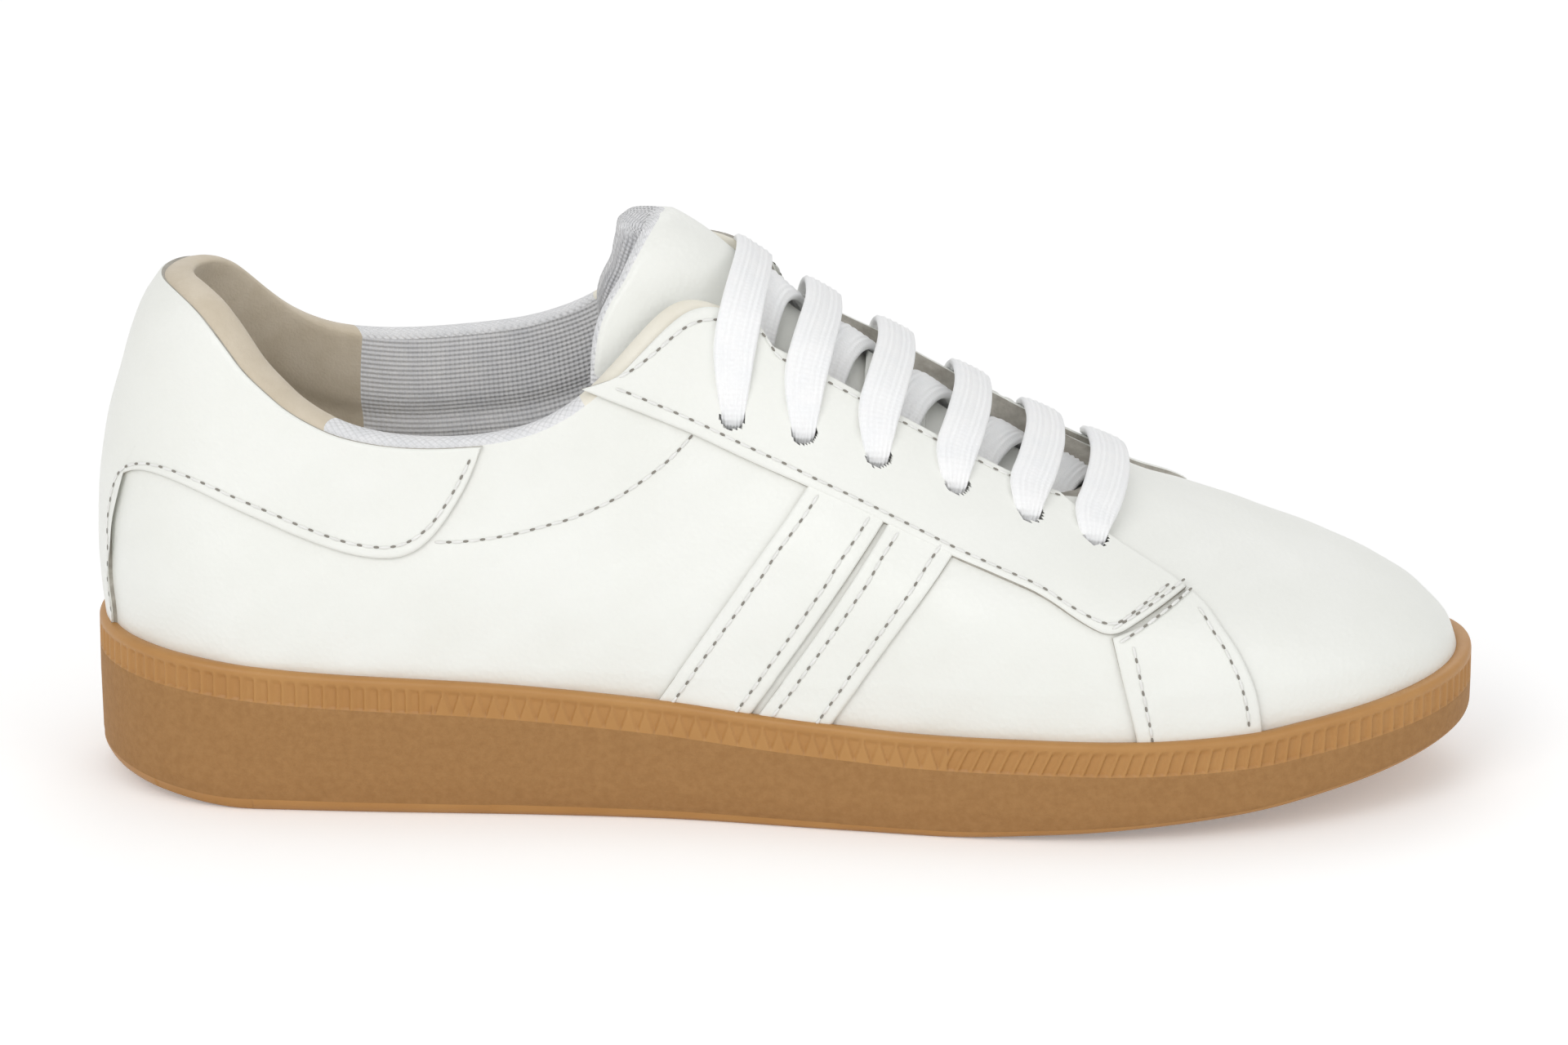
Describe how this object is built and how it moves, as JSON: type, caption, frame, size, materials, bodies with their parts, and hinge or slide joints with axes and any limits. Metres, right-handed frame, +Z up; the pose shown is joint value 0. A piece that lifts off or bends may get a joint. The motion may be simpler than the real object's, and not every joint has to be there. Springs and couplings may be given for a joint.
{
  "type": "court shoe",
  "caption": "Low-cut right court shoe: white leather upper with overlays, gum cupsole, padded tongue on a hinge and a flat lace through punched facings.",
  "frame": {"origin": "middle of the tread's outline on the ground plane", "axes": "+X towards the toe, -Y the lateral (outer) side, +Z up"},
  "size_m": [0.2721, 0.0974, 0.1133],
  "materials": {
    "gum_rubber": "matte gum",
    "eva_foam": "matte foam",
    "board": "matte fibre board",
    "insole_cloth": "fine knit",
    "white_leather": "smooth full grain",
    "backing_cloth": "plain weave",
    "stiffener": "thermoplastic sheet",
    "padding_foam": "open-cell foam",
    "suede_lining": "napped suede",
    "mesh_lining": "spacer mesh",
    "binding_tape": "knit tape",
    "lace_cotton": "flat woven",
    "aglet_film": "clear-white film"
  },
  "bodies": {
    "upper_and_sole": {"cupsole": "gum_rubber", "midsole_insert": "eva_foam", "lasting_board": "board", "sockliner_foam": "eva_foam", "sockliner_cover": "insole_cloth", "vamp": "white_leather", "quarter_lateral": "white_leather", "quarter_medial": "white_leather", "eyestay_lateral": "white_leather", "eyestay_medial": "white_leather", "forefoot_overlay_lateral": "white_leather", "forefoot_overlay_medial": "white_leather", "stripe_rear_lateral": "white_leather", "stripe_front_lateral": "white_leather", "stripe_rear_medial": "white_leather", "stripe_front_medial": "white_leather", "backstay": "white_leather", "toe_puff": "stiffener", "heel_counter": "stiffener", "quarter_interlining": "backing_cloth", "collar_foam_lateral": "padding_foam", "collar_foam_medial": "padding_foam", "facing_stay_lateral": "backing_cloth", "facing_stay_medial": "backing_cloth", "heel_lining": "suede_lining", "vamp_lining": "mesh_lining", "quarter_lining_lateral": "mesh_lining", "quarter_lining_medial": "mesh_lining", "collar_binding_lateral": "binding_tape", "collar_binding_medial": "binding_tape", "lace": "lace_cotton", "aglet_start": "aglet_film", "aglet_end": "aglet_film"},
    "tongue": {"tongue_leather": "white_leather", "tongue_foam": "padding_foam", "tongue_lining": "mesh_lining", "tongue_binding": "binding_tape", "lace_keeper": "white_leather"}
  },
  "joints": [
    {"name": "tongue_hinge", "type": "hinge", "parent": "upper_and_sole", "child": "tongue", "pos_m": [0.07, 0.0018, 0.044], "axis": [0, -1, 0], "range_deg": [0, 10]}
  ]
}
